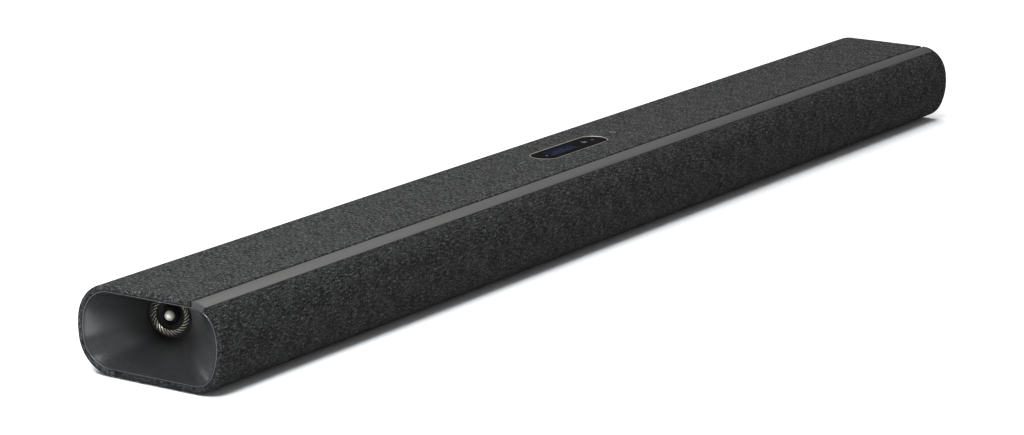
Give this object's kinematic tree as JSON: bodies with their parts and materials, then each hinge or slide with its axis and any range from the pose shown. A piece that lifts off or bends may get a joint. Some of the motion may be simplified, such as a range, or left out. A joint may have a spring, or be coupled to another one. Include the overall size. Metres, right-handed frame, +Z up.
{
  "type": "soundbar",
  "caption": "Long low soundbar with a charcoal fabric cover, a metal trim strip along its front top edge, a rounded display window on top and a tweeter horn in each open end.",
  "frame": {"origin": "centre of the footprint on the surface that the rubber feet stand on", "axes": "+X along the bar towards its right end, -Y out of the front, +Z up"},
  "size_m": [1.04, 0.125, 0.0654],
  "materials": {
    "fabric": "melange knitted speaker cloth, dark charcoal",
    "trim_metal": "dark grey satin, brushed along its length",
    "black_plastic": "moulded, fine texture",
    "horn_plastic": "moulded, satin dark grey",
    "vane_plastic": "moulded, glossy black",
    "plug_silver": "satin silver",
    "dome_metal": "thin anodised dome",
    "magnet_steel": "plated steel",
    "bezel_metal": "polished champagne chamfer",
    "lens_black": "glossy tinted window",
    "display_glass": "dark display panel",
    "circuit_board": "green glass-fibre board",
    "socket_metal": "plated sheet steel",
    "button_plastic": "moulded, satin",
    "pin_metal": "nickel-plated",
    "foot_rubber": "soft black rubber",
    "brass": "machined brass",
    "screw_steel": "black oxide",
    "foam": "closed-cell foam gasket",
    "basket_plastic": "glass-filled moulding",
    "surround_rubber": "butyl rubber roll",
    "cone": "stiff woven cone",
    "chip_plastic": "moulded chip package",
    "heatsink_metal": "extruded, anodised",
    "transformer_tape": "yellow insulating tape and ferrite",
    "capacitor_sleeve": "dark blue shrink sleeve",
    "wire_sleeve": "black sleeve"
  },
  "bodies": {
    "root": {"top_fabric": "fabric", "front_fabric": "fabric", "trim_strip": "trim_metal", "top_cover": "black_plastic", "rear_housing": "black_plastic", "base_plate": "black_plastic", "front_grille": "black_plastic", "front_baffle": "black_plastic", "left_end_shell": "black_plastic", "right_end_shell": "black_plastic", "left_horn": "horn_plastic", "right_horn": "horn_plastic", "left_vane_ring": "vane_plastic", "right_vane_ring": "vane_plastic", "left_phase_plug": "plug_silver", "right_phase_plug": "plug_silver", "horn_magnets": "magnet_steel", "window_bezel": "bezel_metal", "window_lens": "lens_black", "display_panel": "display_glass", "control_board": "circuit_board", "tact_switches": "socket_metal", "port_bay": "black_plastic", "socket_plate": "black_plastic", "hdmi_sockets": "socket_metal", "optical_socket": "black_plastic", "ethernet_socket": "socket_metal", "usb_socket": "socket_metal", "mains_inlet": "black_plastic", "mains_pins": "pin_metal", "rubber_feet": "foot_rubber", "wall_mount_inserts": "brass", "base_screws": "screw_steel", "driver_gaskets": "foam", "woofer_baskets": "basket_plastic", "woofer_magnets": "magnet_steel", "woofer_surrounds": "surround_rubber", "tweeter_frames": "basket_plastic", "tweeter_magnets": "magnet_steel", "bulkheads": "basket_plastic", "main_board": "circuit_board", "board_chips": "chip_plastic", "amplifier_heatsink": "heatsink_metal", "power_board": "circuit_board", "mains_transformer": "transformer_tape", "filter_capacitors": "capacitor_sleeve", "wireless_module": "socket_metal", "wiring_loom": "wire_sleeve"},
    "volume_down": {"volume_down_button": "button_plastic"},
    "volume_up": {"volume_up_button": "button_plastic"},
    "left_outer_cone": {"left_outer_cone": "cone"},
    "left_inner_cone": {"left_inner_cone": "cone"},
    "right_inner_cone": {"right_inner_cone": "cone"},
    "right_outer_cone": {"right_outer_cone": "cone"},
    "left_tweeter_dome": {"left_tweeter_dome": "dome_metal"},
    "centre_tweeter_dome": {"centre_tweeter_dome": "dome_metal"},
    "right_tweeter_dome": {"right_tweeter_dome": "dome_metal"},
    "left_horn_dome": {"left_horn_dome": "dome_metal"},
    "right_horn_dome": {"right_horn_dome": "dome_metal"}
  },
  "joints": [
    {"name": "volume_down_press", "type": "slide", "parent": "root", "child": "volume_down", "axis": [0, 0, -1], "range_m": [0, 0.0006], "stiffness_N_per_m": 500},
    {"name": "volume_up_press", "type": "slide", "parent": "root", "child": "volume_up", "axis": [0, 0, -1], "range_m": [0, 0.0006], "stiffness_N_per_m": 500},
    {"name": "left_outer_cone_stroke", "type": "slide", "parent": "root", "child": "left_outer_cone", "axis": [0, -1, 0], "range_m": [-0.003, 0.003], "stiffness_N_per_m": 1500},
    {"name": "left_inner_cone_stroke", "type": "slide", "parent": "root", "child": "left_inner_cone", "axis": [0, -1, 0], "range_m": [-0.003, 0.003], "stiffness_N_per_m": 1500},
    {"name": "right_inner_cone_stroke", "type": "slide", "parent": "root", "child": "right_inner_cone", "axis": [0, -1, 0], "range_m": [-0.003, 0.003], "stiffness_N_per_m": 1500},
    {"name": "right_outer_cone_stroke", "type": "slide", "parent": "root", "child": "right_outer_cone", "axis": [0, -1, 0], "range_m": [-0.003, 0.003], "stiffness_N_per_m": 1500},
    {"name": "left_tweeter_stroke", "type": "slide", "parent": "root", "child": "left_tweeter_dome", "axis": [0, -1, 0], "range_m": [-0.0004, 0.0004], "stiffness_N_per_m": 1500},
    {"name": "centre_tweeter_stroke", "type": "slide", "parent": "root", "child": "centre_tweeter_dome", "axis": [0, -1, 0], "range_m": [-0.0004, 0.0004], "stiffness_N_per_m": 1500},
    {"name": "right_tweeter_stroke", "type": "slide", "parent": "root", "child": "right_tweeter_dome", "axis": [0, -1, 0], "range_m": [-0.0004, 0.0004], "stiffness_N_per_m": 1500},
    {"name": "left_horn_stroke", "type": "slide", "parent": "root", "child": "left_horn_dome", "axis": [-0.9613, -0.2756, 0], "range_m": [-0.0003, 0.0003], "stiffness_N_per_m": 1500},
    {"name": "right_horn_stroke", "type": "slide", "parent": "root", "child": "right_horn_dome", "axis": [0.9613, -0.2756, 0], "range_m": [-0.0003, 0.0003], "stiffness_N_per_m": 1500}
  ]
}
